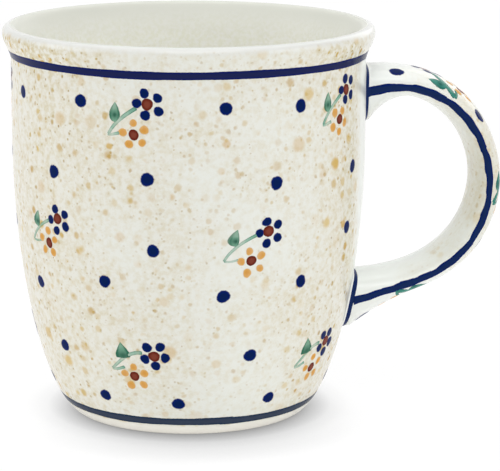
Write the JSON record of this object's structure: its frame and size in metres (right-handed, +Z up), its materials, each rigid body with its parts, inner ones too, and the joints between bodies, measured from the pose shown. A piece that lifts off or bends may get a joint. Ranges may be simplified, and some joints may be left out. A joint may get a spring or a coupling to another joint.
{
  "type": "stoneware mug",
  "caption": "Glazed stoneware mug with a full belly, a turned-out lip and a strap handle luted to the wall with slip. It holds a hot drink and stands on its foot ring.",
  "frame": {"origin": "middle of the mug's bounding box at the level of the table, so the body's own axis stands 16.2 mm towards -X", "axes": "+X from the body out towards the handle, +Y across the handle, +Z up out of the cup"},
  "size_m": [0.1224, 0.09, 0.095],
  "materials": {
    "body_glaze": "gloss",
    "handle_glaze": "gloss",
    "slip": "gloss"
  },
  "bodies": {
    "root": {"mug_body": "body_glaze", "handle": "handle_glaze", "upper_slip_joint": "slip", "lower_slip_joint": "slip"}
  },
  "joints": []
}
